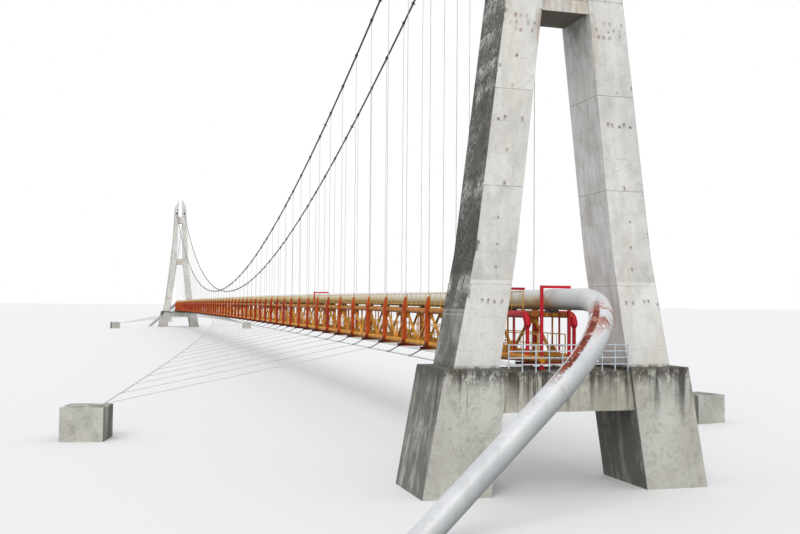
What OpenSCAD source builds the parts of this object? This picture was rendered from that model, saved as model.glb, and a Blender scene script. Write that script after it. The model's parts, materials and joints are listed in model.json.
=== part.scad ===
// Suspension bridge that carries a gas main between two concrete towers, as a 1:20 scale model.
// Millimetres of the model, so 50 mm stand for 1 m. The origin is at mid-span on the floor.
// X runs along the bridge from the near tower to the far one, Y to its left and Z up.

/* [Span] */
// Distance from one truss post to the next
panel = 250; // [230:5:270]
// Number of panels from tower to tower
panels = 62; // [56:2:66]
// Clearance between pieces that are only seated on each other
seat_gap = 0.3; // [0.1:0.1:0.5]

/* [Piers] */
// Height of the piers above the floor
pier_height = 280; // [240:5:320]
// Length of a pier along the bridge
pier_depth = 210; // [190:5:240]
// Distance from the middle to a pier's inner face at its top
pier_inner = 150; // [145:1:158]
// Distance from the middle to a pier's outer face at its top
pier_outer = 300; // [285:1:330]
// How far the inner face leans out down to the floor
pier_inner_lean = 42; // [30:1:60]
// How far the outer face leans out down to the floor
pier_outer_lean = 50; // [30:1:70]
// Height of the beam between the two piers
cap_height = 90; // [70:1:110]
// Length of that beam along the bridge
cap_depth = 192; // [180:1:206]
// How far its top lies below the pier tops
cap_drop = 8; // [4:1:14]

/* [Tower legs] */
// Thickness of the legs along the bridge
leg_depth = 145; // [130:1:160]
// Heights above the pier top: end of the flared foot
flare_height = 260; // [220:5:300]
// Where the legs turn steeper
kink_height = 875; // [850:5:900]
// Outer edge of the horn
horn_edge_height = 1850; // [1830:5:1870]
// Tip of the horn at its inner edge
horn_tip_height = 1975; // [1950:5:2010]
// Distances from the middle to the outer face: at the pier
foot_outer = 270; // [262:1:284]
// At the end of the flare
flare_outer = 220; // [212:1:230]
// At the kink
kink_outer = 145; // [138:1:152]
// At the horn
horn_outer = 94; // [90:1:98]
// Distances from the middle to the inner face: at the pier
foot_inner = 161; // [154:1:168]
// At the end of the flare
flare_inner = 121; // [114:1:128]
// At the kink
kink_inner = 55; // [50:1:60]
// At the horn
horn_inner = 30; // [27:1:33]
// Thickness of the cross beams along the bridge
beam_depth = 125; // [110:1:130]
// Underside of the lower beam above the pier top
lower_beam_z = 825; // [800:5:840]
// Height of the lower beam
lower_beam_height = 100; // [80:1:120]
// Underside of the upper beam above the pier top
upper_beam_z = 1560; // [1530:5:1580]
// Height of the upper beam
upper_beam_height = 115; // [90:1:130]

/* [Main cables] */
// Distance from the middle to each cable
cable_y = 65; // [62:0.5:68]
// Radius of the cable
cable_radius = 3.8; // [3:0.1:4.6]
// Sag between the towers
cable_sag = 1505; // [1450:5:1540]
// Height above the pier top where the two straight lines of the cable would meet
saddle_height = 1770; // [1755:1:1785]
// Radius of the cable over its saddle
saddle_radius = 160; // [150:1:175]
// Height above the floor where the cable enters its anchor
anchor_height = 110; // [80:5:140]
// Width of the slot that the saddle stands in
slot_width = 28; // [24:1:32]
// Height of the slot
slot_height = 84; // [78:1:90]
// Width of the saddle
saddle_width = 20; // [16:1:22]
// Outer radius of a cable clamp
clamp_radius = 5.4; // [5.2:0.1:6.4]
// Length of a cable clamp
clamp_length = 13; // [10:1:18]
// Reach of its lug below the cable
lug_reach = 10; // [8:0.5:13]
// Radius of a hanger
hanger_radius = 1; // [0.8:0.1:1.4]
// Length of an anchor block
anchor_length = 260; // [200:5:320]
// Width of an anchor block
anchor_width = 250; // [200:5:300]
// How far it rises past the cable
anchor_rise = 70; // [50:5:100]

/* [Truss] */
// Distance from the middle to the chords
truss_y = 60; // [59:0.25:61]
// Radius of the bottom chord
bottom_radius = 8; // [7.5:0.1:8.4]
// Radius of the top chord
top_radius = 8.5; // [8:0.1:8.8]
// Clearance of pieces that follow the deck's slope over level ones
slope_gap = 0.1; // [0.05:0.05:0.3]
// Height of the truss from chord to chord
truss_height = 102; // [98:1:106]
// Height of a floor beam
floor_beam_height = 9; // [7:0.5:11]
// Width of a floor beam along the bridge
floor_beam_width = 10; // [8:0.5:12]
// Thickness of its flanges and web
floor_beam_plate = 1.8; // [1.4:0.1:2.4]
// Half the length of a floor beam
floor_beam_reach = 92; // [88:1:96]
// Height of the bearings on the cap
bearing_height = 9; // [7:0.5:11]
// Width of the square diagonals
diagonal_width = 6; // [5:0.25:6.5]
// Width of the thin square upright in the middle of a panel
upright_width = 3.5; // [2.5:0.25:4.5]
// Width of a post, both ways
post_width = 13; // [12:0.5:14]
// Height of a post above its floor beam
post_height = 155; // [150:1:158]
// Height of its pointed end
post_taper = 31; // [24:1:34]
// Width of the point
post_tip = 3.2; // [2.6:0.2:4]
// How far the point stands back from the post's inner face
post_lean = 0.8; // [0:0.1:1]
// How far the foot of a post flares out
foot_flare = 5; // [3:0.5:7]
// Height of that flare
foot_rise = 12; // [8:1:16]
// Height of a top cross beam
top_beam_height = 9; // [8:0.5:10]
// Width of a top cross beam along the bridge
top_beam_width = 8; // [7:0.5:10]
// Width of the flat bracing bars
brace_width = 7; // [5:0.5:9]
// Thickness of the flat bracing bars
brace_thick = 3; // [2:0.5:4]
// How far the bottom chord runs on past the tower's middle
chord_overrun = 80; // [70:1:84]
// Radius of the bend that closes the truss at its ends
end_bend = 25; // [20:1:30]
// Length of the red chord before the bend
end_stretch = 92; // [80:1:110]
// Radius of the red tube that comes down from the bend
end_post_radius = 4.5; // [4:0.25:6]
// Length of the cone between the two
end_cone = 8; // [6:1:12]
// Radius of the thin red upright beside it
end_upright_radius = 2.5; // [2:0.25:3]
// Distance of that upright from the tower's middle
end_upright_place = 85; // [70:1:100]

/* [Camber] */
// Rise of the deck's curve at mid-span
camber = 17.5; // [12:0.5:22]
// How much more than the deck the pipe rises
pipe_crown = 6; // [0:0.5:8]
// Panels from the tower to the first splice
first_splice = 1.25; // [1.25:1:3.25]
// Panels from splice to splice
splice_step = 10; // [7:1:12]
// Length of a splice sleeve
splice_length = 8; // [6:1:12]
// How far a sleeve stands out from its tube
splice_rise = 1; // [0.6:0.1:1.4]

/* [Walkway and rails] */
// Half the width of the walkway
walkway_half = 38; // [34:0.5:40]
// Thickness of the walkway
walkway_thick = 2.5; // [2:0.25:3]
// Thickness of the square rail bars
rail_bar = 2.4; // [2:0.1:2.8]
// Height of the walkway's rails
walkway_rail = 62; // [52:1:70]
// Height of their middle bar
walkway_mid = 34; // [24:1:40]
// Height of the handrail above the top chord
handrail_height = 46; // [42:1:50]
// Height of the handrail's lower bar
handrail_mid = 14; // [12:1:18]
// Height of the railing on the caps
cap_rail_height = 62; // [54:1:66]
// Distance between its uprights
cap_rail_pitch = 34; // [28:1:46]

/* [Gas main] */
// Radius of the pipe
pipe_radius = 24.5; // [23:0.25:25.5]
// Height of the pipe's underside above the top cross beams
pipe_clear = 6.5; // [4:0.25:9]
// Straight length past the tower's middle
pipe_overrun = 149; // [135:1:165]
// Radius of the elbow
elbow_radius = 300; // [240:5:330]
// Width of the weld between elbow and run
weld_width = 3; // [2:0.5:5]
// Height of that weld
weld_rise = 0.5; // [0.3:0.1:0.8]
// Turn of the run to the left
run_turn = 80; // [70:1:86]
// Slope of the run down to the floor
run_slope = 41; // [36:1:46]
// Half the width of the cradles under the pipe
cradle_half = 16; // [14:0.5:18]
// Width of the square tube of the red frames
frame_tube = 6.5; // [5.5:0.25:7.5]
// Half the width of the red frames
frame_half = 35; // [33.5:0.5:37]
// Height of the red frames above the pipe
frame_clear = 8; // [7:0.5:12]
// Distance of the end frames past the tower's middle
frame_offset = 20; // [18:1:30]

/* [Wind stays] */
// Reach of the outriggers
outrigger_reach = 122; // [112:1:128]
// Drop of the outriggers below the floor beams
outrigger_drop = 18; // [14:1:22]
// Depth of an outrigger
outrigger_depth = 3; // [2.4:0.2:5]
// Width of an outrigger along the bridge
outrigger_width = 4; // [3:0.5:6]
// Length of its foot below the floor beam
outrigger_foot = 6; // [4:0.5:10]
// Radius of the lines along the outriggers' tips
line_radius = 2; // [1.4:0.1:2.6]
// Radius of the ties
tie_radius = 1; // [0.8:0.1:1.4]
// Radius of the wind cables
wind_radius = 1.8; // [1.4:0.1:2.2]
// Distance from the middle to a wind cable at mid-span
wind_start = 136; // [130:1:146]
// How far it has swung out at its end
wind_swing = 924; // [880:4:980]
// Power of the distance that it swings out with
wind_power = 1.55; // [1.5:0.05:2]
// Distance from mid-span to the wind cables' ends
wind_end = 6650; // [6350:50:6800]
// Fall of the wind cables' plane for each unit outward
wind_fall = 0.2; // [0.18:0.005:0.21]
// Length of a wind anchor block
wind_block = 130; // [100:5:160]

/* [Hidden] */

span = panels * panel;
tower_x = span / 2;
cap_top = pier_height - cap_drop;

// Deck levels, each resting on the one below
beam_z = cap_top + bearing_height;
deck_z = beam_z + floor_beam_height;
bottom_z = deck_z + slope_gap + bottom_radius;
top_z = bottom_z + truss_height;
top_beam_z = top_z - top_beam_height / 2;
top_seat = top_beam_z + top_beam_height;
pipe_z = top_seat + pipe_clear + pipe_radius;
post_inner = truss_y + diagonal_width / 2 + seat_gap;
post_top = deck_z + post_height;
chord_end = tower_x + chord_overrun;
bend_x = tower_x - end_bend - top_radius / 2;
walkway_z = deck_z + slope_gap;
walkway_top = walkway_z + walkway_thick;
chord_start = bend_x - end_stretch;
tip_z = beam_z - outrigger_drop;
line_y = outrigger_reach + line_radius + seat_gap;

// Deck and pipe are straight between splices that lie on a parabola, so they rise to mid-span
splice_x = [for (i = [-3 : 3]) if (i != 0)
    sign(i) * (tower_x - (first_splice + (3 - abs(i)) * splice_step) * panel)];
outer_splice = splice_x[5];
function arch(x) = camber * (1 - pow(x / outer_splice, 2));
function level(x) = lookup(x, [for (s = splice_x) [s, arch(s)]]);
function pipe_level(x) =
    lookup(x, [for (s = splice_x) [s, abs(s) < outer_splice ? arch(s) + pipe_crown : 0]]);
function stations(x0, x1) = concat([x0], [for (s = splice_x) if (s > x0 && s < x1) s], [x1]);

// The main cable: a parabola between the towers and a straight backstay of the same slope
slope = 4 * cable_sag / span;
steep = atan(slope);
saddle_z = pier_height + saddle_height;
arc_z = saddle_z - saddle_radius / cos(steep);
anchor_x = tower_x + (saddle_z - anchor_height) / slope;
function cable_z(x) = saddle_z - cable_sag + cable_sag * pow(2 * x / span, 2);
function cable_tilt(x) = atan(8 * cable_sag * x / (span * span));
half_cable = concat(
    [for (k = [0 : panels / 2 - 1]) [k * panel, cable_z(k * panel), cable_tilt(k * panel)]],
    [for (i = [0 : 6]) let (a = steep * (1 - i / 3))
        [tower_x - saddle_radius * sin(a), arc_z + saddle_radius * cos(a), a]],
    [[anchor_x, anchor_height, -steep]]);
cable_path = concat([for (i = [len(half_cable) - 1 : -1 : 1])
        [-half_cable[i][0], half_cable[i][1], -half_cable[i][2]]], half_cable);

// Profile of a tower leg, as distances from the middle at a height above the pier top
function leg_inner(z) = lookup(z, [[0, foot_inner], [flare_height, flare_inner],
    [kink_height, kink_inner], [horn_tip_height, horn_inner]]);
function leg_outer(z) = lookup(z, [[0, foot_outer], [flare_height, flare_outer],
    [kink_height, kink_outer], [horn_edge_height, horn_outer]]);
function pier_in(z) = pier_inner + pier_inner_lean * (1 - z / pier_height);
function pier_out(z) = pier_outer + pier_outer_lean * (1 - z / pier_height);

// The wind cable swings out as a power of the distance, in a plane that falls outward
function wind_y(x) = wind_start + wind_swing * pow(abs(x) / wind_end, wind_power);
function wind_z(x) = tip_z + level(x) - wind_fall * (wind_y(x) - outrigger_reach);
function wind_heading(x) =
    atan(sign(x) * wind_power * wind_swing / wind_end * pow(abs(x) / wind_end, wind_power - 1));

tie_x = [for (k = [1 : panels - 1]) let (x = -tower_x + k * panel) if (abs(x) < wind_end - panel / 2) x];

// Puts a profile drawn in Y and Z across the bridge
module across(depth, x = 0)
    translate([x, 0, 0]) rotate([90, 0, 90]) linear_extrude(height = depth, center = true) children();

// Puts a profile drawn in X and Z along the bridge
module along(width, y = 0)
    translate([0, y, 0]) rotate([90, 0, 0]) linear_extrude(height = width, center = true) children();

// A block from low to high corner
module block(a, b) translate(a) cube([b[0] - a[0], b[1] - a[1], b[2] - a[2]]);

// A bar with flat or round faces from one point to another
module bar(a, b, radius, sides) {
    d = b - a;
    translate(a) rotate([0, acos(d[2] / norm(d)), atan2(d[1], d[0])])
        cylinder(h = norm(d), r = radius, $fn = sides);
}

// A square bar from one point to another above it in the same plane along the bridge
module square_bar(a, b, width)
    translate(a) rotate([0, atan2(b[0] - a[0], b[2] - a[2]), 0]) translate([-width / 2, -width / 2, 0])
        cube([width, width, norm(b - a)]);

// A round tube laid along X
module tube_x(x0, x1, y, z, radius)
    translate([x0, y, z]) rotate([0, 90, 0]) cylinder(h = x1 - x0, r = radius, $fn = 32);

// A round tube that is straight from splice to splice, with a sleeve over each joint.
// Its seam lies at the side, away from what joins it from above and below.
module spliced_tube(x0, x1, y, z, radius, on_pipe = false, rise = splice_rise, length = splice_length) {
    s = stations(x0, x1);
    last = len(s) - 1;
    joint_gap = length / 8;
    function lift(x) = on_pipe ? pipe_level(x) : level(x);
    for (i = [0 : last - 1]) let (a = s[i] + (i > 0 ? joint_gap : 0),
                                  b = s[i + 1] - (i < last - 1 ? joint_gap : 0))
        translate([a, y, z + lift(a)]) rotate([0, 90 - atan((lift(b) - lift(a)) / (b - a)), 0])
            rotate([0, 0, 90]) cylinder(h = norm([b - a, lift(b) - lift(a)]), r = radius, $fn = 48);
    for (i = [1 : last - 1])
        tube_x(s[i] - length / 2, s[i] + length / 2, y, z + lift(s[i]), radius + rise);
}

// Sweeps a ring of points, given ring by ring, to a closed solid
module sweep(rings) {
    n = len(rings[0]);
    m = len(rings);
    polyhedron(
        points = [for (ring = rings) for (p = ring) p],
        faces = concat(
            [[for (i = [0 : n - 1]) i]],
            [for (j = [0 : m - 2]) for (i = [0 : n - 1])
                [j * n + i, (j + 1) * n + i, (j + 1) * n + (i + 1) % n, j * n + (i + 1) % n]],
            [[for (i = [n - 1 : -1 : 0]) (m - 1) * n + i]]));
}

module leg(x, side) {
    difference() {
        across(leg_depth, x) polygon([for (p = [
            [foot_inner, 0], [foot_outer, 0], [flare_outer, flare_height],
            [kink_outer, kink_height], [horn_outer, horn_edge_height],
            [horn_inner, horn_tip_height], [kink_inner, kink_height], [flare_inner, flare_height]])
            [side * p[0], pier_height + p[1]]]);
        translate([x, side * cable_y, saddle_z - slot_height / 8])
            cube([leg_depth + 2, slot_width, slot_height], center = true);
    }
}

module tower_beam(x, low, height) {
    levels = low < kink_height && low + height > kink_height ? [low, kink_height, low + height]
        : [low, low + height];
    n = len(levels);
    across(beam_depth, x) polygon(concat(
        [for (i = [0 : n - 1]) [leg_inner(levels[i]), pier_height + levels[i]]],
        [for (i = [n - 1 : -1 : 0]) [-leg_inner(levels[i]), pier_height + levels[i]]]));
}

module piers(x) {
    for (side = [-1, 1]) across(pier_depth, x) polygon([
        [side * pier_in(0), 0], [side * pier_out(0), 0],
        [side * pier_out(pier_height), pier_height], [side * pier_in(pier_height), pier_height]]);
}

module cap_beam(x) {
    low = cap_top - cap_height;
    across(cap_depth, x) polygon([[-pier_in(low), low], [pier_in(low), low],
        [pier_in(cap_top), cap_top], [-pier_in(cap_top), cap_top]]);
}

// Cast saddle with a round bed and a trough for the cable
module saddle(x, y) {
    foot = saddle_z - slot_height / 8 - slot_height / 2;
    translate([x, 0, 0]) difference() {
        along(saddle_width, y) intersection() {
            translate([-leg_depth / 2, foot]) square([leg_depth, slot_height]);
            translate([0, arc_z]) circle(r = saddle_radius + cable_radius / 2, $fn = 96);
        }
        along(2 * cable_radius + 2 * seat_gap, y) difference() {
            translate([-leg_depth, foot + 1]) square([2 * leg_depth, slot_height]);
            translate([0, arc_z]) circle(r = saddle_radius - cable_radius - seat_gap, $fn = 96);
        }
    }
}

module main_cable(side) {
    sweep([for (p = cable_path) [for (i = [0 : 7]) let (a = i * 45 + 22.5, r = cable_radius)
        [p[0] - r * sin(a) * sin(p[2]), side * (cable_y + r * cos(a)), p[1] + r * sin(a) * cos(p[2])]]]);
}

// Split collar round the cable, with the lug that holds the hanger
module cable_clamp(x, side) {
    z = cable_z(x);
    difference() {
        union() {
            translate([x, side * cable_y, z]) rotate([0, 90 - cable_tilt(x), 0])
                cylinder(h = clamp_length, r = clamp_radius, center = true, $fn = 32);
            block([x - 3, side * cable_y - 1.5, z - lug_reach], [x + 3, side * cable_y + 1.5, z]);
        }
        translate([x, side * cable_y, z]) rotate([0, 90 - cable_tilt(x), 0])
            cylinder(h = 2 * clamp_length, r = cable_radius + seat_gap, center = true, $fn = 32);
    }
}

module hanger(x, side) {
    foot = post_top + level(x);
    translate([x, side * cable_y, foot])
        cylinder(h = cable_z(x) - lug_reach - foot, r = hanger_radius, $fn = 8);
}

// One side of the stiffening truss over half of the span, seen as the chords and their web
module truss_half(end, side) {
    y = side * truss_y;
    first = end < 0 ? 0 : panels / 2;
    lo = end < 0 ? -1 : 0;
    spliced_tube(lo * chord_end, (lo + 1) * chord_end, y, bottom_z, bottom_radius);
    spliced_tube(lo * chord_start, (lo + 1) * chord_start, y, top_z, top_radius);
    for (i = [first : first + panels / 2 - 1]) {
        x = -tower_x + i * panel;
        m = x + panel / 2;
        foot = [m, y, bottom_z + level(m)];
        for (p = [x, x + panel]) if (abs(p) < tower_x)
            square_bar(foot, [p, y, top_z + level(p)], diagonal_width);
        square_bar(foot, [m, y, top_z + level(m)], upright_width);
    }
}

// Red end of the truss: the top chord bends down to the bottom one, with a thin upright beside it
module end_bend_tube(side) {
    y = side * truss_y;
    low = bottom_z + bottom_radius * 0.6;
    cone_z = top_z - end_bend - end_cone;
    difference() {
        union() {
            tube_x(chord_start, bend_x, y, top_z, top_radius);
            translate([bend_x, y, top_z - end_bend]) rotate([90, 0, 0])
                rotate_extrude(angle = 90, $fn = 48) translate([end_bend, 0])
                    circle(r = top_radius, $fn = 48);
            translate([bend_x + end_bend, y, cone_z])
                cylinder(h = end_cone, r1 = end_post_radius, r2 = top_radius, $fn = 48);
            translate([bend_x + end_bend, y, low]) cylinder(h = cone_z - low, r = end_post_radius, $fn = 48);
            translate([tower_x - end_upright_place, y, low])
                cylinder(h = top_z - low, r = end_upright_radius, $fn = 16);
        }
        tube_x(chord_start - 1, chord_end + 1, y, bottom_z, bottom_radius + seat_gap);
    }
}

// Post outside the chords, cut round them, with a pointed head that the hanger holds
module post(x, side) {
    w = post_width;
    translate([0, 0, level(x)]) across(w, x) difference() {
        polygon([for (p = [[post_inner, deck_z], [post_inner + w + foot_flare, deck_z],
            [post_inner + w, deck_z + foot_rise], [post_inner + w, post_top - post_taper],
            [post_inner + post_lean + post_tip, post_top], [post_inner + post_lean, post_top],
            [post_inner, post_top - post_taper]]) [side * p[0], p[1]]]);
        translate([side * truss_y, bottom_z]) circle(r = bottom_radius + seat_gap, $fn = 32);
        translate([side * truss_y, top_z]) circle(r = top_radius + seat_gap, $fn = 32);
    }
}

// Rolled section across the bridge, with its web waisted between two flanges
module floor_beam(x) {
    f = floor_beam_width;
    along(2 * floor_beam_reach) translate([x, beam_z + level(x)]) difference() {
        translate([-f / 2, 0]) square([f, floor_beam_height]);
        for (s = [-1, 1]) translate([s * (f / 2 + floor_beam_plate / 2), floor_beam_height / 2])
            square([f, floor_beam_height - 2 * floor_beam_plate], center = true);
    }
}

module top_beam(x) {
    reach = truss_y - top_radius - seat_gap;
    translate([x, 0, level(x)]) block([-top_beam_width / 2, -reach, top_beam_z],
                                      [top_beam_width / 2, reach, top_seat]);
}

// Flat bar from beam to beam, its ends cut flush with them
module brace(x, z, reach, side, gap) {
    tilt = atan((level(x + panel) - level(x)) / panel);
    translate([x, 0, z + level(x)]) rotate([0, -tilt, 0]) linear_extrude(height = brace_thick) polygon([
        [gap, -side * reach], [panel - gap, side * (reach - brace_width)],
        [panel - gap, side * reach], [gap, -side * (reach - brace_width)]]);
}

// A bar along X whose profile follows the deck
module deck_bar(x0, x1, y, width, z, height) {
    s = stations(x0, x1);
    n = len(s);
    along(width, y) polygon(concat([for (x = s) [x, z + level(x)]],
                                   [for (i = [n - 1 : -1 : 0]) [s[i], z + height + level(s[i])]]));
}

// Bars on uprights that follow the deck: heights are above the foot
module railing(x0, x1, y, z, heights, pitch) {
    r = rail_bar / 2;
    last = ceil(x1 / pitch) - 1;
    for (h = heights) deck_bar(x0, x1, y, rail_bar, z + h - rail_bar, rail_bar);
    for (x = concat([x0 + r], [for (k = [-last : last]) k * pitch], [x1 - r]))
        block([x - r, y - r, z + level(x)], [x + r, y + r, z + max(heights) - r + level(x)]);
}

// Pipe run past the tower: elbow, then straight down to the floor
module pipe_run() {
    bend = acos(cos(run_turn) * cos(run_slope));
    roll = -atan2(sin(run_slope), sin(run_turn) * cos(run_slope));
    drop = sin(run_slope);
    fall_start = pipe_z + elbow_radius * (1 - cos(bend)) * sin(roll);
    reach = fall_start / drop + 3 * pipe_radius;
    difference() {
        translate([tower_x + pipe_overrun, 0, pipe_z]) rotate([roll, 0, 0]) {
            translate([0, elbow_radius, 0]) rotate([0, 0, -90])
                rotate_extrude(angle = bend, $fn = 64) translate([elbow_radius, 0])
                    circle(r = pipe_radius, $fn = 48);
            translate([elbow_radius * sin(bend), elbow_radius * (1 - cos(bend)), 0]) rotate([0, 90, bend]) {
                cylinder(h = reach, r = pipe_radius, $fn = 48);
                translate([0, 0, -weld_width / 2])
                    cylinder(h = weld_width, r = pipe_radius + weld_rise, $fn = 48);
            }
        }
        translate([tower_x, -1500, -1000]) cube([3000, 3000, 1000]);
    }
}

// Block on a top cross beam that is cut round the underside of the pipe
module cradle(x) {
    low = top_seat + level(x);
    axis_z = pipe_z + pipe_level(x);
    height = axis_z - low - pipe_radius * 0.78;
    across(top_beam_width, x) difference() {
        translate([-cradle_half, low]) square([2 * cradle_half, height]);
        translate([0, axis_z]) circle(r = pipe_radius + seat_gap, $fn = 48);
    }
}

// Red square-tube frame that stands over the pipe
module pipe_frame(x, foot) {
    t = frame_tube;
    frame_top = pipe_z + pipe_level(x) + pipe_radius + frame_clear;
    across(t, x) difference() {
        translate([-frame_half - t / 2, foot]) square([2 * frame_half + t, frame_top - foot]);
        translate([-frame_half + t / 2, foot - 1]) square([2 * frame_half - t, frame_top - foot - t + 1]);
    }
}

module outrigger(x, side) {
    translate([0, 0, level(x)]) across(outrigger_width, x) polygon([for (p = [
        [floor_beam_reach - outrigger_foot, beam_z], [floor_beam_reach, beam_z],
        [outrigger_reach, tip_z + outrigger_depth / 2],
        [outrigger_reach, tip_z - outrigger_depth / 2]]) [side * p[0], p[1]]]);
}

module wind_cable(side) {
    sweep([for (x = concat([-wind_end], tie_x, [wind_end])) let (h = wind_heading(x))
        [for (j = [0 : 5]) let (a = j * 60, r = wind_radius)
            [x - r * cos(a) * sin(h), side * (wind_y(x) + r * cos(a) * cos(h)), wind_z(x) + r * sin(a)]]]);
}

module wind_tie(x, side) {
    a = [x, side * (line_y + line_radius), tip_z + level(x)];
    b = [x, side * wind_y(x), wind_z(x)];
    u = (b - a) / norm(b - a);
    bar(a + u * seat_gap, b - u * (wind_radius + seat_gap), tie_radius, 6);
}

module wind_anchor(end, side) {
    h = wind_heading(wind_end);
    mirror([end < 0 ? 1 : 0, 0, 0]) mirror([0, side < 0 ? 1 : 0, 0])
        translate([wind_end, wind_y(wind_end), 0]) rotate([0, 0, h])
            block([0, -wind_block / 2, 0], [wind_block, wind_block / 2, wind_z(wind_end) + 24]);
}

// Anchor block whose front is square to the cable
module cable_anchor(end) {
    rise = anchor_height + anchor_rise * cos(steep);
    mirror([end < 0 ? 1 : 0, 0, 0]) along(anchor_width) polygon([
        [anchor_x - anchor_height * slope, 0], [anchor_x + anchor_rise * sin(steep), rise],
        [anchor_x + anchor_length, rise], [anchor_x + anchor_length, 0]]);
}

// Galvanised railing on the landward edge of a cap
module cap_railing(end) {
    reach = floor(pier_in(cap_top) - 2);
    count = round(2 * reach / cap_rail_pitch);
    x = end * (tower_x + cap_depth / 2 - rail_bar);
    r = rail_bar / 2;
    for (share = [0.29, 0.53, 0.77, 1]) let (top = cap_top + share * cap_rail_height)
        block([x - r, -reach, top - rail_bar], [x + r, reach, top]);
    for (i = [0 : count]) let (y = -reach + r + (2 * reach - rail_bar) * i / count)
        block([x - r, y - r, cap_top], [x + r, y + r, cap_top + cap_rail_height]);
}

module near_left_leg() color("silver") leg(-tower_x, 1);
module near_right_leg() color("silver") leg(-tower_x, -1);
module far_left_leg() color("silver") leg(tower_x, 1);
module far_right_leg() color("silver") leg(tower_x, -1);
module near_lower_beam() color("silver") tower_beam(-tower_x, lower_beam_z, lower_beam_height);
module near_upper_beam() color("silver") tower_beam(-tower_x, upper_beam_z, upper_beam_height);
module far_lower_beam() color("silver") tower_beam(tower_x, lower_beam_z, lower_beam_height);
module far_upper_beam() color("silver") tower_beam(tower_x, upper_beam_z, upper_beam_height);
module near_piers() color("gray") piers(-tower_x);
module far_piers() color("gray") piers(tower_x);
module near_cap_beam() color("gray") cap_beam(-tower_x);
module far_cap_beam() color("gray") cap_beam(tower_x);
module cable_saddles() color("dimgray") for (e = [-1, 1]) for (s = [-1, 1]) saddle(e * tower_x, s * cable_y);
module left_main_cable() color("slategray") main_cable(1);
module right_main_cable() color("slategray") main_cable(-1);
module cable_clamps() color("dimgray")
    for (k = [1 : panels - 1]) for (s = [-1, 1]) cable_clamp(-tower_x + k * panel, s);
module hangers() color("lightgray")
    for (k = [1 : panels - 1]) for (s = [-1, 1]) hanger(-tower_x + k * panel, s);
module left_truss_near() color("orange") union() truss_half(-1, 1);
module left_truss_far() color("orange") union() truss_half(1, 1);
module right_truss_near() color("orange") union() truss_half(-1, -1);
module right_truss_far() color("orange") union() truss_half(1, -1);
module truss_end_bends() color("crimson")
    for (e = [0, 1]) mirror([e, 0, 0]) for (s = [-1, 1]) end_bend_tube(s);
module truss_posts() color("orangered")
    for (k = [1 : panels - 1]) for (s = [-1, 1]) post(-tower_x + k * panel, s);
module floor_beams() color("orangered") for (k = [0 : panels]) floor_beam(-tower_x + k * panel);
module top_beams() color("orange") for (k = [0 : panels]) top_beam(-tower_x + k * panel);
module lateral_bracing() color("orange") for (k = [0 : panels - 1]) {
    brace(-tower_x + k * panel, beam_z + floor_beam_plate + slope_gap, truss_y, k % 2 == 0 ? 1 : -1,
          floor_beam_plate / 2 + slope_gap);
    brace(-tower_x + k * panel, top_beam_z + 3, truss_y - top_radius - 2, k % 2 == 0 ? -1 : 1,
          top_beam_width / 2 + slope_gap);
}
module walkway() color("peru")
    let (end = tower_x + floor_beam_width / 2, s = stations(-end, end)) for (i = [0 : len(s) - 2])
        deck_bar(s[i] + (i > 0 ? seat_gap : 0), s[i + 1], 0, 2 * walkway_half, walkway_z, walkway_thick);
module walkway_rails() color("gold") for (s = [-1, 1])
    railing(-tower_x, tower_x, s * (walkway_half - rail_bar), walkway_top + slope_gap,
            [walkway_mid, walkway_rail], panel);
module handrail(side)
    railing(-bend_x, bend_x, side * truss_y, top_z + top_radius + seat_gap,
            [handrail_mid, handrail_height], panel);
module left_handrail() color("gold") handrail(1);
module right_handrail() color("gold") handrail(-1);
module bearings() color("dimgray") for (e = [-1, 1]) for (s = [-1, 1])
    block([e * tower_x - 12, s * truss_y - 8, cap_top], [e * tower_x + 12, s * truss_y + 8, beam_z]);
module pipe_span() color("whitesmoke")
    spliced_tube(-tower_x - pipe_overrun, tower_x + pipe_overrun, 0, pipe_z, pipe_radius,
                 true, weld_rise, 2 * weld_width);
module near_pipe_run() color("whitesmoke") mirror([1, 0, 0]) pipe_run();
module far_pipe_run() color("whitesmoke") pipe_run();
module pipe_cradles() color("dimgray") for (k = [0 : panels]) cradle(-tower_x + k * panel);
module pipe_frames() color("crimson") for (e = [-1, 1]) {
    pipe_frame(e * (tower_x + frame_offset), cap_top);
    for (k = [1, 11]) let (x = e * (tower_x - k * panel)) pipe_frame(x, top_seat + level(x));
}
module outriggers() color("dimgray")
    for (k = [1 : panels - 1]) for (s = [-1, 1]) outrigger(-tower_x + k * panel, s);
module steadying_lines() color("silver") for (s = [-1, 1])
    spliced_tube(-tower_x + cap_depth / 2, tower_x - cap_depth / 2, s * line_y, tip_z, line_radius);
module left_wind_cable() color("silver") wind_cable(1);
module right_wind_cable() color("silver") wind_cable(-1);
module wind_ties() color("silver") for (x = tie_x) for (s = [-1, 1]) wind_tie(x, s);
module wind_anchors() color("gray") for (e = [-1, 1]) for (s = [-1, 1]) wind_anchor(e, s);
module cable_anchors() color("gray") for (e = [-1, 1]) cable_anchor(e);
module cap_railings() color("lightsteelblue") for (e = [-1, 1]) cap_railing(e);

near_left_leg();
near_right_leg();
far_left_leg();
far_right_leg();
near_lower_beam();
near_upper_beam();
far_lower_beam();
far_upper_beam();
near_piers();
far_piers();
near_cap_beam();
far_cap_beam();
cable_saddles();
left_main_cable();
right_main_cable();
cable_clamps();
hangers();
left_truss_near();
left_truss_far();
right_truss_near();
right_truss_far();
truss_end_bends();
truss_posts();
floor_beams();
top_beams();
lateral_bracing();
walkway();
walkway_rails();
left_handrail();
right_handrail();
bearings();
pipe_span();
near_pipe_run();
far_pipe_run();
pipe_cradles();
pipe_frames();
outriggers();
steadying_lines();
left_wind_cable();
right_wind_cable();
wind_ties();
wind_anchors();
cable_anchors();
cap_railings();
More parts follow.
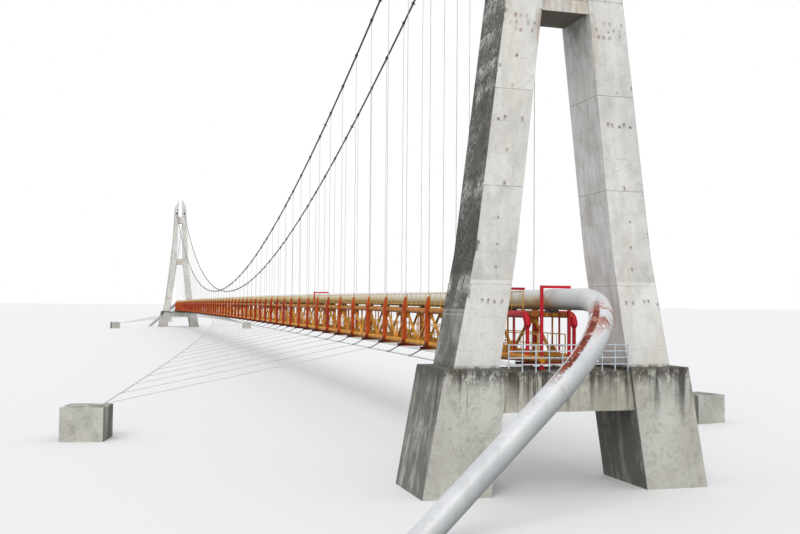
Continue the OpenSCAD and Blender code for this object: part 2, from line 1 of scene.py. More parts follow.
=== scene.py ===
# Look of the gas main bridge: camera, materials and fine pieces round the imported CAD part.
# One metre here is one metre of the 1:20 model, so M metres stand for 1 m of the real bridge.
import json
import math

import bpy
from mathutils import Matrix, Vector


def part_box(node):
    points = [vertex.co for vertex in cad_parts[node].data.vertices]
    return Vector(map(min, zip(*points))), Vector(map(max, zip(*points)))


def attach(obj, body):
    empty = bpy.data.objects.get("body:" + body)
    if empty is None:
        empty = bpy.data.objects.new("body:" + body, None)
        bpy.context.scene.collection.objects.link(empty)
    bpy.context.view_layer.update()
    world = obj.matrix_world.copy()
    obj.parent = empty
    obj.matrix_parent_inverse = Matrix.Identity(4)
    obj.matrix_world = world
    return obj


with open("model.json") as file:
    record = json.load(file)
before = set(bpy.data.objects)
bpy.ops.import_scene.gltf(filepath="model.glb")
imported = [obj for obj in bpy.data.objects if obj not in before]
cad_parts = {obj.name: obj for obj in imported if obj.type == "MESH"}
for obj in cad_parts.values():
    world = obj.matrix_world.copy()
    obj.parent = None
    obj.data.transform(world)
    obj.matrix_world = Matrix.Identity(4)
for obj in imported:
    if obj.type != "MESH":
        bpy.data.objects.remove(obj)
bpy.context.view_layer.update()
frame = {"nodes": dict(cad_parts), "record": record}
nodes = frame["nodes"]

# Main sizes as in the part's source: one real metre, the truss, the cables, the main and the rails
M = 0.05
METRES_PER_PANEL = 5
PANEL = METRES_PER_PANEL * M
FLOOR_BEAM_HALF = 0.1 * M
TRUSS_RISE = 2.04 * M
CHORD_OVER_WALKWAY = 0.16 * M
CABLE_Y = 1.3 * M
PIPE_R = 0.49 * M
RAIL_HALF = 0.024 * M

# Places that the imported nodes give
tower_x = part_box("floor_beams")[1][0] - FLOOR_BEAM_HALF
span_panels = round(tower_x / PANEL)
pier_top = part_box("near_piers")[1][2]
cap_half, cap_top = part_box("near_cap_beam")[1][1:]
beam_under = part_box("near_lower_beam")[0][2]
deck_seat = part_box("bearings")[1][2]
truss_y = (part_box("left_handrail")[0][1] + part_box("left_handrail")[1][1]) / 2
chord_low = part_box("walkway")[0][2] + CHORD_OVER_WALKWAY
chord_top = chord_low + TRUSS_RISE
pipe_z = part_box("near_pipe_run")[1][2] - PIPE_R

SIDES = (-1, 1)
panel_points = [k * PANEL for k in range(1 - span_panels, span_panels)]
panel_middles = [(k + 0.5) * PANEL for k in range(-span_panels, span_panels)]
half_span = METRES_PER_PANEL * span_panels
metre_points = [k * M for k in range(-half_span, half_span + 1) if k % METRES_PER_PANEL]


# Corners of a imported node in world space
def corners(node):
    obj = nodes[node]
    return [obj.matrix_world @ v.co for v in obj.data.vertices]


# The same for a node with one solid at each panel point, by the point's number and the side
def corners_by_panel(node):
    groups = {}
    for q in corners(node):
        groups.setdefault((round(q.x / PANEL), 1 if q.y > 0 else -1), []).append(q)
    return groups


def middle_of(points):
    return sum(points, Vector()) / len(points)


# How much a long node's middle rises over its end, by the place along the bridge
def rise_of(node):
    columns = {}
    for q in corners(node):
        columns.setdefault(round(q.x, 2), []).append(q.z)
    rows = [(x, (min(zs) + max(zs)) / 2) for x, zs in sorted(columns.items())]
    return [(x, z - rows[0][1]) for x, z in rows]


# Value at a place between the rows of such a list
def at(rows, x):
    if x <= rows[0][0]:
        return rows[0][1]
    for (x0, z0), (x1, z1) in zip(rows, rows[1:]):
        if x <= x1:
            return z0 + (z1 - z0) * (x - x0) / (x1 - x0)
    return rows[-1][1]


deck_rise = rise_of("walkway")
pipe_rise = rise_of("pipe_span")

# The photographer stood behind the near tower and left of the axis
EYE_BACK, EYE_LEFT, EYE_UP = 41.872 * M, 19.532 * M, 2.786 * M
YAW, PITCH, ROLL = (math.radians(a) for a in (16.057, 2.261, 0.49))
PHOTO_WIDTH, FOCAL_LENGTH_IN_PIXELS, SENSOR_WIDTH = 800, 964.9, 36
VIEW_REACH = 400


def place_camera():
    ahead = Vector((math.cos(YAW) * math.cos(PITCH), -math.sin(YAW) * math.cos(PITCH), math.sin(PITCH)))
    level = Vector((-math.sin(YAW), -math.cos(YAW), 0))
    over = level.cross(ahead)
    r = level * math.cos(ROLL) + over * math.sin(ROLL)
    u = over * math.cos(ROLL) - level * math.sin(ROLL)
    data = bpy.data.cameras.new("camera")
    data.sensor_width = SENSOR_WIDTH
    data.lens = FOCAL_LENGTH_IN_PIXELS / PHOTO_WIDTH * SENSOR_WIDTH
    data.clip_end = VIEW_REACH
    cam = bpy.data.objects.new("camera", data)
    bpy.context.scene.collection.objects.link(cam)
    eye = Vector((-tower_x - EYE_BACK, EYE_LEFT, pier_top + EYE_UP))
    cam.matrix_world = Matrix((
        (r.x, u.x, -ahead.x, eye.x), (r.y, u.y, -ahead.y, eye.y), (r.z, u.z, -ahead.z, eye.z), (0, 0, 0, 1)))
    bpy.context.scene.camera = cam


place_camera()
bpy.context.scene.view_settings.view_transform = "Standard"


BUMP_STRENGTH = 0.7


# Small helper to write node materials
class Paint:
    def __init__(self, name, rough=0.6, metal=0.0):
        self.mat = bpy.data.materials.new(name)
        self.mat.use_nodes = True
        self.tree = self.mat.node_tree
        self.shader = self.tree.nodes["Principled BSDF"]
        self.shader.inputs["Roughness"].default_value = rough
        self.shader.inputs["Metallic"].default_value = metal
        self.place = self.tree.nodes.new("ShaderNodeTexCoord").outputs["Object"]
        split = self.tree.nodes.new("ShaderNodeSeparateXYZ")
        self.link(self.place, split.inputs[0])
        self.x, self.y, self.z = split.outputs
        normal = self.tree.nodes.new("ShaderNodeSeparateXYZ")
        geometry = self.tree.nodes.new("ShaderNodeNewGeometry")
        self.link(geometry.outputs["Normal"], normal.inputs[0])
        self.nx, self.ny, self.nz = normal.outputs

    def link(self, a, b):
        if isinstance(a, (int, float)):
            b.default_value = a
        elif isinstance(a, tuple):
            b.default_value = (*a, 1) if len(a) == 3 else a
        else:
            self.tree.links.new(a, b)

    def calc(self, op, a, b=0.0):
        n = self.tree.nodes.new("ShaderNodeMath")
        n.operation = op
        self.link(a, n.inputs[0])
        self.link(b, n.inputs[1])
        return n.outputs[0]

    def add(self, a, b):
        return self.calc("ADD", a, b)

    def sub(self, a, b):
        return self.calc("SUBTRACT", a, b)

    def div(self, a, b):
        return self.calc("DIVIDE", a, b)

    def mul(self, *factors):
        out = factors[0]
        for f in factors[1:]:
            out = self.calc("MULTIPLY", out, f)
        return out

    def most(self, a, b):
        return self.calc("MAXIMUM", a, b)

    def size(self, a):
        return self.calc("ABSOLUTE", a)

    def sign(self, a):
        return self.calc("SIGN", a)

    def floor(self, a):
        return self.calc("FLOOR", a)

    def fract(self, a):
        return self.calc("FRACT", a)

    # What a mask leaves free
    def rest(self, mask):
        return self.sub(1.0, mask)

    # Distance from the nearest whole number
    def off_whole(self, value):
        return self.size(self.sub(self.fract(self.add(value, 0.5)), 0.5))

    # 0 at lo, 1 at hi, held beyond them
    def ramp(self, value, lo, hi):
        n = self.tree.nodes.new("ShaderNodeMapRange")
        self.link(value, n.inputs["Value"])
        n.inputs["From Min"].default_value = lo
        n.inputs["From Max"].default_value = hi
        return n.outputs["Result"]

    # 1 where a whole number is below a limit that lies halfway between two of them
    def below(self, value, limit):
        return self.ramp(value, limit + 0.1, limit - 0.1)

    def noise(self, scale, stretch=(1, 1, 1), detail=4, rough=0.55):
        m = self.tree.nodes.new("ShaderNodeMapping")
        m.inputs["Scale"].default_value = stretch
        self.link(self.place, m.inputs["Vector"])
        n = self.tree.nodes.new("ShaderNodeTexNoise")
        n.inputs["Scale"].default_value = scale
        n.inputs["Detail"].default_value = detail
        n.inputs["Roughness"].default_value = rough
        self.link(m.outputs[0], n.inputs["Vector"])
        return n.outputs["Fac"]

    # Patches where a noise is above a range of its values, soft as far as the range is wide
    def patches(self, lo, hi, scale, stretch=(1, 1, 1), detail=4, rough=0.55):
        return self.ramp(self.noise(scale, stretch, detail, rough), lo, hi)

    def random(self, x, y=0.0, z=0.0):
        c = self.tree.nodes.new("ShaderNodeCombineXYZ")
        for v, s in zip((x, y, z), c.inputs):
            self.link(v, s)
        n = self.tree.nodes.new("ShaderNodeTexWhiteNoise")
        self.link(c.outputs[0], n.inputs["Vector"])
        return n.outputs["Value"]

    def mix(self, fac, a, b):
        n = self.tree.nodes.new("ShaderNodeMix")
        n.data_type = "RGBA"
        self.link(fac, n.inputs[0])
        self.link(a, n.inputs[6])
        self.link(b, n.inputs[7])
        return n.outputs[2]

    # Coats laid over a colour in turn, each with its mask, its strength and its own colour
    def coats(self, col, *coats):
        for mask, strength, colour in coats:
            col = self.mix(self.mul(mask, strength), col, colour)
        return col

    def done(self, colour, bump=None, depth=0.001, rough=None):
        self.link(colour, self.shader.inputs["Base Color"])
        if rough is not None:
            self.link(rough, self.shader.inputs["Roughness"])
        if bump is not None:
            n = self.tree.nodes.new("ShaderNodeBump")
            n.inputs["Distance"].default_value = depth
            n.inputs["Strength"].default_value = BUMP_STRENGTH
            self.link(bump, n.inputs["Height"])
            self.link(n.outputs[0], self.shader.inputs["Normal"])
        return self.mat


# Concrete was cast in lifts; their joints show from the first one up and down
LIFT = 4.45 * M
FIRST_JOINT = 8.2 * M
FORM, FORM_WIDTH, BOARD = LIFT / 3, 1.32 * M, 0.22 * M
# Tie holes stand in rows and columns on the forms
HOLE_ROWS, HOLE_COLUMN = 5, 0.3 * M
# Heights of a leg's kinks above the pier, and the reach of its outer and inner face there
LEG_HEIGHTS = (0, 5.2 * M, 17.5 * M, 37 * M)
LEG_OUTER = (5.4 * M, 4.4 * M, 2.9 * M, 1.88 * M)
LEG_INNER = (3.22 * M, 2.42 * M, 1.1 * M, 0.65 * M)

# Heights above the pier, from bare to full, at which the look of a leg changes
CLEAN_FOOT = (3.98 * M, 3.92 * M)
SOILED = (5.6 * M, 4.4 * M)
CLEAR_JOINTS = (4.0 * M, 7.0 * M)
BRIGHT_TOP = (12.2 * M, 13.2 * M)
THICK_GROWTH, THICK_GROWTH_TOP = (4.1 * M, 4.4 * M), (7.4 * M, 6.0 * M)
LIME = (11.5 * M, 13.5 * M)
PALE_FOOT, PALE_FOOT_TOP = (-0.1 * M, 0.5 * M), (2.6 * M, 2.57 * M)
FOOT_LEDGES = (2.6 * M, 2.38 * M)
# The low tie holes are grey. In the calm range they stand in no cluster, and below the last heights
# a cluster is one row.
LOW_HOLES = (6.0 * M, 5.0 * M)
CALM, CALM_TOP = (6.0 * M, 6.2 * M), (10.0 * M, 9.8 * M)
ONE_ROW = (13.4 * M, 13.0 * M)
# How far below the lower cross beam its grime and painted shade reach, and how far out on a leg's front
BEAM_GRIME_AND_SHADE, CORNER_GRIME, CORNER_WIDTH = (3.2 * M, 0.3 * M), (3.6 * M, 0.2 * M), (0.35 * M, 0.05 * M)


# Reach of a leg's face at a height: its straight lines form a hollow curve, so the largest one counts
def leg_face(p, up, reaches):
    out = None
    for k in range(len(LEG_HEIGHTS) - 1):
        slope = (reaches[k + 1] - reaches[k]) / (LEG_HEIGHTS[k + 1] - LEG_HEIGHTS[k])
        line = p.add(p.mul(up, slope), reaches[k] - slope * LEG_HEIGHTS[k])
        out = line if out is None else p.most(out, line)
    return out


# Thin lines that the edges of the forms leave, each a step apart
def form_lines(p, value, step, width):
    return p.ramp(p.off_whole(p.div(value, step)), width / step, 0)


# Cells with a tie hole: one up each face in each form, and a cluster of them in each third form
def tie_cells(p, up, column, row):
    group = p.floor(p.div(row, HOLE_ROWS))
    step = p.size(p.sub(p.sub(row, p.mul(group, HOLE_ROWS)), HOLE_ROWS // 2))
    face = p.add(p.sign(p.y), p.mul(p.sign(p.nx), 5.0))
    chance = p.random(column, row, face)
    single = p.mul(p.below(p.size(column), 0.5), p.below(step, 0.5), p.ramp(chance, 0.2, 0.25))
    third = p.size(p.sub(p.calc("FLOORED_MODULO", group, 3.0), 2.0))
    calm = p.mul(p.ramp(up, *CALM), p.ramp(up, *CALM_TOP))
    cluster = p.mul(p.below(third, 0.5), p.rest(calm), p.below(p.size(column), 2.5),
                    p.below(p.add(step, p.ramp(up, *ONE_ROW)), 1.5),
                    p.ramp(p.sub(chance, p.mul(step, 0.25)), 0.25, 0.30))
    return p.mul(p.most(single, cluster), p.ramp(p.size(p.nx), 0.6, 0.8))


# Stains at the tie holes, drawn downwards: rusty ones above, grey ones low on a leg
def tie_rust(p, up, col, middle):
    high, under_joint = FORM / HOLE_ROWS, 0.6 * M
    low = p.ramp(up, *LOW_HOLES)
    v = p.div(p.sub(up, p.add(FIRST_JOINT - under_joint, p.mul(low, under_joint))), high)
    row = p.floor(v)
    u = p.add(p.div(p.sub(p.size(p.y), middle), HOLE_COLUMN), p.add(0.25, p.mul(p.random(row, 7.0), 0.5)))
    column = p.floor(u)
    shown = tie_cells(p, up, column, row)
    aside, above = p.sub(p.random(column, row, 9.0), 0.5), p.sub(p.random(column, row, 4.0), 0.5)
    du = p.mul(p.add(p.sub(p.fract(u), 0.5), p.mul(aside, 0.4)), HOLE_COLUMN)
    dv = p.mul(p.add(p.sub(p.fract(v), 0.5), p.mul(above, 0.55)), high)
    drop = p.most(dv, p.mul(dv, -0.45))
    ragged = p.add(p.calc("SQRT", p.add(p.mul(du, du, 1.3), p.mul(drop, drop, 1.3))),
                   p.mul(p.sub(p.noise(330, (1, 1, 0.4), 5, 0.72), 0.5), 0.2 * M))
    dry = p.most(p.random(column, row, 3.0), p.mul(low, 0.62))
    stain = p.mix(p.ramp(dry, 0.5, 0.7), (0.34, 0.20, 0.13), (0.22, 0.19, 0.155))
    strength = p.add(0.32, p.mul(p.random(row, column, 2.0), 0.6))
    round_hole = p.calc("SQRT", p.add(p.mul(du, du), p.mul(dv, dv, 1.4)))
    hole = p.mul(p.ramp(round_hole, 0.044 * M, 0.024 * M), shown, p.ramp(dry, 0.45, 0.75))
    return p.coats(col, (p.mul(p.ramp(ragged, 0.12 * M, 0.02 * M), shown), strength, stain),
                   (hole, 0.8, (0.05, 0.035, 0.03))), hole


# Black growth on a leg's outer side: pale flecks in clouds, and lime below the edges of the forms
def growth_tone(p, up, lift):
    clouds = p.patches(0.42, 0.60, 15, (1, 1, 0.7), 6, 0.66)
    thick = p.mul(p.ramp(up, *THICK_GROWTH), p.ramp(up, *THICK_GROWTH_TOP))
    cloud = p.mul(clouds, p.rest(p.mul(thick, 0.7)))
    fleck = p.patches(0.48, 0.58, 170, (1, 1, 0.7), 6, 0.72)
    form = p.div(p.sub(up, FIRST_JOINT), FORM)
    loose = p.add(form, p.mul(p.sub(p.noise(40, detail=5, rough=0.7), 0.5), 0.35))
    high = p.mul(p.ramp(p.fract(loose), 0.45, 0.95), p.ramp(up, *LIME))
    at_joint = p.ramp(p.off_whole(lift), 0.13, 0.03)
    lime = p.mul(p.most(high, at_joint), p.ramp(cloud, 0.1, 0.7),
                 p.patches(0.46, 0.53, 110, (1, 1, 0.5), 6, 0.78))
    black, grey = (0.052, 0.050, 0.045), (0.118, 0.115, 0.105)
    return p.coats(p.mix(p.patches(0.38, 0.62, 45, (1, 1, 0.7), 6, 0.68), black, grey),
                   (thick, 0.6, (0.030, 0.029, 0.025)),
                   (fleck, p.add(p.mul(cloud, 0.58), 0.04), (0.54, 0.54, 0.50)),
                   (lime, 0.9, (0.62, 0.62, 0.58)))


# Paler foot of that side, between the pier and two ledges
def foot_tone(p, up, tone):
    foot = p.mul(p.ramp(up, *PALE_FOOT_TOP), p.ramp(up, *PALE_FOOT))
    specks = p.patches(0.50, 0.58, 150, detail=6, rough=0.75)
    bare = p.patches(0.44, 0.60, 22, (1, 1, 0.5), 6, 0.68)
    pale = p.mix(bare, (0.17, 0.17, 0.158), (0.44, 0.44, 0.41))
    ledge = p.most(*(p.ramp(p.size(p.sub(up, z)), 0.05 * M, 0.02 * M) for z in FOOT_LEDGES))
    return p.coats(tone, (foot, 0.62, pale), (p.mul(foot, specks), 0.35, (0.06, 0.06, 0.055)),
                   (ledge, 0.45, (0.46, 0.46, 0.43)))


# Where that growth is: on the outer side, and spilling round the edge in places
def growth_mask(p, to_edge):
    reach = p.mul(p.patches(0.58, 0.80, 20, (1, 1, 0.7), 6, 0.65), 0.42 * M)
    spill = p.mul(p.ramp(p.sub(to_edge, reach), 0.03 * M, -0.02 * M), 0.7)
    return p.most(p.ramp(p.mul(p.ny, p.sign(p.y)), 0.3, 0.6), spill)


# Bare concrete of a leg: lifts of unlike tone, painted light that makes the faces looking sideways paler,
# boards, blotches, streaks and specks
def cast_colour(p, up, lift, across, sideways):
    form = p.floor(p.div(p.sub(up, FIRST_JOINT), FORM))
    board = p.random(p.floor(p.div(across, BOARD)), form, sideways)
    tone = p.add(p.mul(p.noise(9, (1, 1, 0.7), 6, 0.6), 0.75),
                 p.mul(p.random(p.floor(lift), p.sign(p.y), p.sign(p.x)), 0.18))
    tone = p.add(tone, p.mul(p.ramp(up, *BRIGHT_TOP), 0.07))
    clean = p.ramp(up, *CLEAN_FOOT)
    soiled = p.mul(p.ramp(up, *SOILED), p.rest(clean), p.patches(0.36, 0.60, 26, (1, 1, 0.8), 6, 0.66))
    blotch = p.mul(p.patches(0.48, 0.64, 24, (1, 1, 0.8), 6, 0.68), p.rest(p.mul(clean, 0.5)))
    streak = p.patches(0.54, 0.70, 34, (1, 1, 0.07), 5)
    speck = p.patches(0.55, 0.68, 150, detail=6, rough=0.7)
    warm = p.mul(p.patches(0.50, 0.66, 11, (1, 1, 0.4), 5), p.rest(sideways))
    under_joint = p.mul(p.ramp(p.fract(lift), 0.82, 1.0), p.patches(0.48, 0.62, 20, detail=5))
    return p.coats(p.mix(p.ramp(tone, 0.34, 0.62), (0.66, 0.64, 0.605), (0.86, 0.855, 0.83)),
                   (clean, 0.5, (0.88, 0.88, 0.865)), (soiled, 0.55, (0.44, 0.42, 0.38)),
                   # Painted light: the faces that look sideways are made paler and bluer
                   (sideways, 0.65, (0.84, 0.86, 0.89)), (board, 0.13, (0.36, 0.36, 0.34)),
                   (blotch, 0.42, (0.46, 0.45, 0.42)), (streak, 0.24, (0.44, 0.43, 0.40)),
                   (speck, 0.34, (0.34, 0.33, 0.31)), (warm, 0.25, (0.66, 0.56, 0.42)),
                   (under_joint, 0.28, (0.42, 0.38, 0.32)))


# Drips on the cross beams, grime and painted shade on the legs' inner faces below the lower one, and grime on
# their front corners
def beam_grime_and_shade(p, inner, sideways, col):
    down = p.sub(beam_under, p.z)
    between = p.ramp(p.sub(inner, p.size(p.y)), -0.02 * M, 0.04 * M)
    drip = p.mul(between, p.patches(0.42, 0.60, 70, (1, 1, 0.12), 6, 0.65))
    under = p.mul(p.rest(between), p.ramp(down, -0.02 * M, 0.02 * M))
    # Grime, and painted shade that falls dark under the lower beam
    grime = p.mul(under, sideways, p.ramp(down, *BEAM_GRIME_AND_SHADE), p.patches(0.36, 0.60, 26, (1, 1, 0.5), 6, 0.65))
    corner = p.mul(under, p.rest(sideways), p.ramp(down, *CORNER_GRIME),
                   p.ramp(p.sub(p.size(p.y), inner), *CORNER_WIDTH),
                   p.patches(0.38, 0.56, 60, (1, 1, 0.3), 6, 0.7))
    return p.coats(col, (drip, 0.6, (0.42, 0.29, 0.15)), (grime, 0.75, (0.10, 0.10, 0.09)),
                   (corner, 0.7, (0.30, 0.19, 0.10)))


# Cast concrete of the towers
def tower_concrete():
    p = Paint("tower_concrete", 0.9)
    up = p.sub(p.z, pier_top)
    lift = p.div(p.sub(up, FIRST_JOINT), LIFT)
    outer, inner = leg_face(p, up, LEG_OUTER), leg_face(p, up, LEG_INNER)
    sideways = p.ramp(p.size(p.ny), 0.4, 0.6)
    across = p.add(p.mul(sideways, p.x), p.mul(p.rest(sideways), p.sub(p.size(p.y), outer)))
    col = beam_grime_and_shade(p, inner, sideways, cast_colour(p, up, lift, across, sideways))
    col, hole = tie_rust(p, up, col, p.mul(p.add(outer, inner), 0.5))
    edges = p.mul(p.most(form_lines(p, p.sub(up, FIRST_JOINT), FORM, 0.025 * M),
                         form_lines(p, across, FORM_WIDTH, 0.02 * M)),
                  p.patches(0.35, 0.6, 18, detail=3))
    joint = p.mul(p.ramp(p.off_whole(lift), 0.007, 0.002), p.patches(0.3, 0.5, 30, (1, 1, 0.3)))
    joint_strength = p.add(0.08, p.mul(p.ramp(up, *CLEAR_JOINTS), 0.30))
    growth = foot_tone(p, up, growth_tone(p, up, lift))
    # Dirt, and painted shade, where a leg stands on its pier
    foot_dirt_and_shade = p.mul(p.ramp(up, 0.16 * M, 0.02 * M), p.patches(0.35, 0.55, 50, detail=4))
    # Painted shade: the faces that look down are made dark
    shaded_underside = p.ramp(p.nz, -0.5, -0.9)
    col = p.coats(col, (edges, 0.22, (0.16, 0.15, 0.135)),
                  (growth_mask(p, p.sub(outer, p.size(p.y))), 1.0, growth),
                  (joint, joint_strength, (0.13, 0.12, 0.10)), (foot_dirt_and_shade, 0.75, (0.09, 0.08, 0.055)),
                  (shaded_underside, 0.85, (0.060, 0.050, 0.034)))
    hollow = p.add(p.mul(joint, 0.6), p.add(hole, p.mul(edges, 0.3)))
    return p.done(col, p.sub(p.mul(p.noise(180, detail=3), 0.3), hollow), 0.001)


# Darker concrete of the piers and blocks, with black streaks that run down from the top
def pier_concrete():
    p = Paint("pier_concrete", 0.92)
    down = p.sub(pier_top, p.z)
    pale = p.mix(p.patches(0.34, 0.66, 8, detail=6), (0.47, 0.455, 0.41), (0.63, 0.62, 0.575))
    brown = p.mix(p.patches(0.36, 0.64, 9, detail=6), (0.42, 0.39, 0.325), (0.64, 0.61, 0.53))
    base = p.mix(p.ramp(p.size(p.y), cap_half - 0.02 * M, cap_half), brown, pale)
    blotch = p.patches(0.50, 0.66, 30, detail=6, rough=0.68)
    speck = p.patches(0.52, 0.70, 120, detail=6, rough=0.7)
    reach = p.ramp(p.sub(down, p.mul(p.noise(18, (1, 1, 0.02), 4), 4.6 * M)), 0.2 * M, -1.6 * M)
    streak = p.mul(p.patches(0.48, 0.57, 44, (1, 1, 0.035), 6, 0.65), reach)
    lip = p.mul(p.ramp(down, 0.95 * M, 0.25 * M), p.patches(0.45, 0.51, 48, (1, 1, 0.6), 6, 0.72))
    uneven = p.add(down, p.mul(p.noise(60, (1, 1, 0.4), 5), 0.5 * M))
    lip = p.most(lip, p.mul(p.ramp(uneven, 0.55 * M, 0.30 * M), 0.85))
    side = p.mul(p.ramp(p.size(p.ny), 0.5, 0.8), p.patches(0.30, 0.50, 20, (1, 1, 0.25), 6, 0.68))
    moss = p.mul(p.patches(0.56, 0.70, 17, (1, 1, 0.5), 5), p.ramp(down, 2.0 * M, 5.6 * M))
    boards = form_lines(p, down, 1.5 * M, 0.018 * M)
    # Dark moss on the top faces, which also stands as painted shade round the legs' feet
    top = p.mul(p.ramp(p.nz, 0.5, 0.9), p.patches(0.34, 0.56, 24, detail=6))
    # Painted shade: the faces that look down are made dark
    shaded_underside = p.ramp(p.nz, -0.5, -0.9)
    black = (0.035, 0.034, 0.031)
    col = p.coats(base, (blotch, 0.35, (0.26, 0.25, 0.215)), (speck, 0.35, (0.20, 0.19, 0.165)),
                  (streak, 0.85, black), (lip, 0.85, (0.050, 0.043, 0.032)),
                  (side, 0.80, (0.075, 0.074, 0.065)), (moss, 0.35, (0.14, 0.16, 0.08)),
                  (boards, 0.12, black), (top, 0.75, (0.095, 0.10, 0.065)),
                  (shaded_underside, 0.8, (0.04, 0.04, 0.035)))
    return p.done(col, p.sub(p.mul(p.noise(160, detail=4), 0.5), p.mul(boards, 0.2)), 0.0012)


# Paint on steel, worn to rust in patches, with grime in patches and painted shade on the faces that look down
def painted(name, fresh, faded, rust, wear, grime=0.4):
    p = Paint(name, 0.6)
    p.shader.inputs["Specular IOR Level"].default_value = 0.3
    dirt = p.patches(0.46, 0.66, 32, (1, 1, 0.7), 6, 0.65)
    worn = p.patches(0.62 - wear * 0.2, 0.74 - wear * 0.2, 90, (1, 1, 0.5), 6, 0.7)
    # Painted shade: the faces that look down are made dark
    shaded_underside = p.ramp(p.nz, -0.2, -0.9)
    col = p.coats(p.mix(p.patches(0.35, 0.65, 14), fresh, faded),
                  (dirt, grime, tuple(c * 0.25 for c in rust)), (worn, 0.85, rust),
                  (shaded_underside, 0.6, tuple(c * 0.2 for c in rust)))
    return p, col, worn


def finish_paint(p, col, worn):
    return p.done(col, p.sub(p.noise(400, detail=2), worn), 0.0003, p.ramp(worn, -1.5, 1.2))


# Orange posts and floor beams, redder towards mid-span: the beams' ends are near black
def orange_paint():
    p, col, worn = painted("orange_paint", (0.50, 0.050, 0.007), (0.58, 0.11, 0.010),
                           (0.20, 0.022, 0.006), 0.5, 0.4)
    inward = p.ramp(p.size(p.x), tower_x - 45 * M, tower_x - 75 * M)
    panel = p.random(p.calc("ROUND", p.div(p.x, PANEL)), p.sign(p.y))
    crimson = p.mix(p.patches(0.4, 0.6, 40, detail=5), (0.24, 0.008, 0.007), (0.46, 0.016, 0.010))
    beams = p.ramp(p.z, deck_seat + 0.62 * M, deck_seat + 0.42 * M)
    tips = p.mul(beams, p.ramp(p.size(p.y), truss_y - 0.1 * M, truss_y + 0.3 * M))
    col = p.coats(col, (p.most(inward, p.ramp(panel, 0.75, 0.8)), 0.75, crimson),
                  (tips, 0.85, (0.045, 0.012, 0.008)))
    return finish_paint(p, col, worn)


# Yellow truss and beams: the upper ones are brown with grime and with painted shade from the main above them
def yellow_paint():
    p, col, worn = painted("yellow_paint", (0.68, 0.26, 0.015), (0.78, 0.36, 0.03),
                           (0.28, 0.08, 0.012), 0.45, 0.5)
    # Grime, and painted shade that the main casts on the top chords
    upper_grime_and_shade = p.mul(p.ramp(p.z, chord_top - 0.35 * M, chord_top - 0.15 * M),
                  p.patches(0.38, 0.56, 45, (1, 1, 0.6), 6, 0.65))
    return finish_paint(p, p.coats(col, (upper_grime_and_shade, 0.7, (0.20, 0.040, 0.014))), worn)


# Stranded wire: fine ridges that wind round it
def wire(name, colour, dark, frequency):
    p = Paint(name, 0.5, 0.4)
    slant = 1.7
    lay = p.calc("SINE", p.mul(p.add(p.x, p.mul(p.add(p.y, p.z), slant)), frequency))
    return p.done(p.mix(p.patches(0.35, 0.7, 25, detail=5), colour, dark), lay, 0.0003)


# Direction that the strip of rust down the sloping runs faces, and the height over the piers where it starts
RUST_SIDE, RUST_STRIP = Vector((0.36, 0.58, 0.73)), (-0.2 * M, 0.5 * M)
# Places along the main, from the tower's axis outwards or inwards, and how far below its middle rust starts
SPAN_END, ELBOW, TOWER_GRIME = 1.2 * M, (5.6 * M, 6.8 * M), (2.2 * M, 0.5 * M)
GOLDEN, ELBOW_RUST = (20 * M, 90 * M), (1.6 * M, 0.9 * M)


# Dust and soot of the straight main, denser and more golden towards the far end
def pipe_dust(p, span, col):
    beyond = p.ramp(p.add(p.x, tower_x), *GOLDEN)
    dusty = p.mul(span, p.ramp(p.sub(p.nz, p.mul(beyond, 0.25)), 0.65, 0.05),
                  p.patches(0.22, 0.5, 16, (0.4, 1, 1), 5))
    ochre = p.mul(span, p.ramp(p.nz, 0.05, -0.40), p.patches(0.30, 0.5, 22, (0.5, 1, 1), 5))
    return p.coats(col, (dusty, 0.8, p.mix(beyond, (0.64, 0.60, 0.36), (0.72, 0.56, 0.14))),
                   (ochre, 0.7, (0.52, 0.37, 0.12)))


# Rust in patches on the elbows, and in a strip down the back of the sloping runs
def pipe_rust(p, col):
    bent = p.ramp(p.sub(p.size(p.x), tower_x), *ELBOW)
    patch = p.mul(bent, p.ramp(p.sub(pipe_z, p.z), *ELBOW_RUST),
                  p.patches(0.485, 0.515, 26, detail=6, rough=0.68))
    facing = p.add(p.mul(p.nx, p.sign(p.x), RUST_SIDE.x),
                   p.add(p.mul(p.ny, RUST_SIDE.y), p.mul(p.nz, RUST_SIDE.z)))
    strip = p.mul(bent, p.ramp(facing, 0.905, 0.95), p.ramp(p.sub(p.z, pier_top), *RUST_STRIP),
                  p.patches(0.40, 0.45, 70, detail=6, rough=0.72))
    light = p.mix(p.patches(0.42, 0.58, 60, detail=6), (0.26, 0.065, 0.032), (0.50, 0.19, 0.10))
    deep = p.mix(p.patches(0.4, 0.6, 50, detail=6), (0.13, 0.022, 0.014), (0.27, 0.055, 0.028))
    return p.coats(col, (patch, 0.82, light), (strip, 1.0, deep)), p.most(patch, strip)


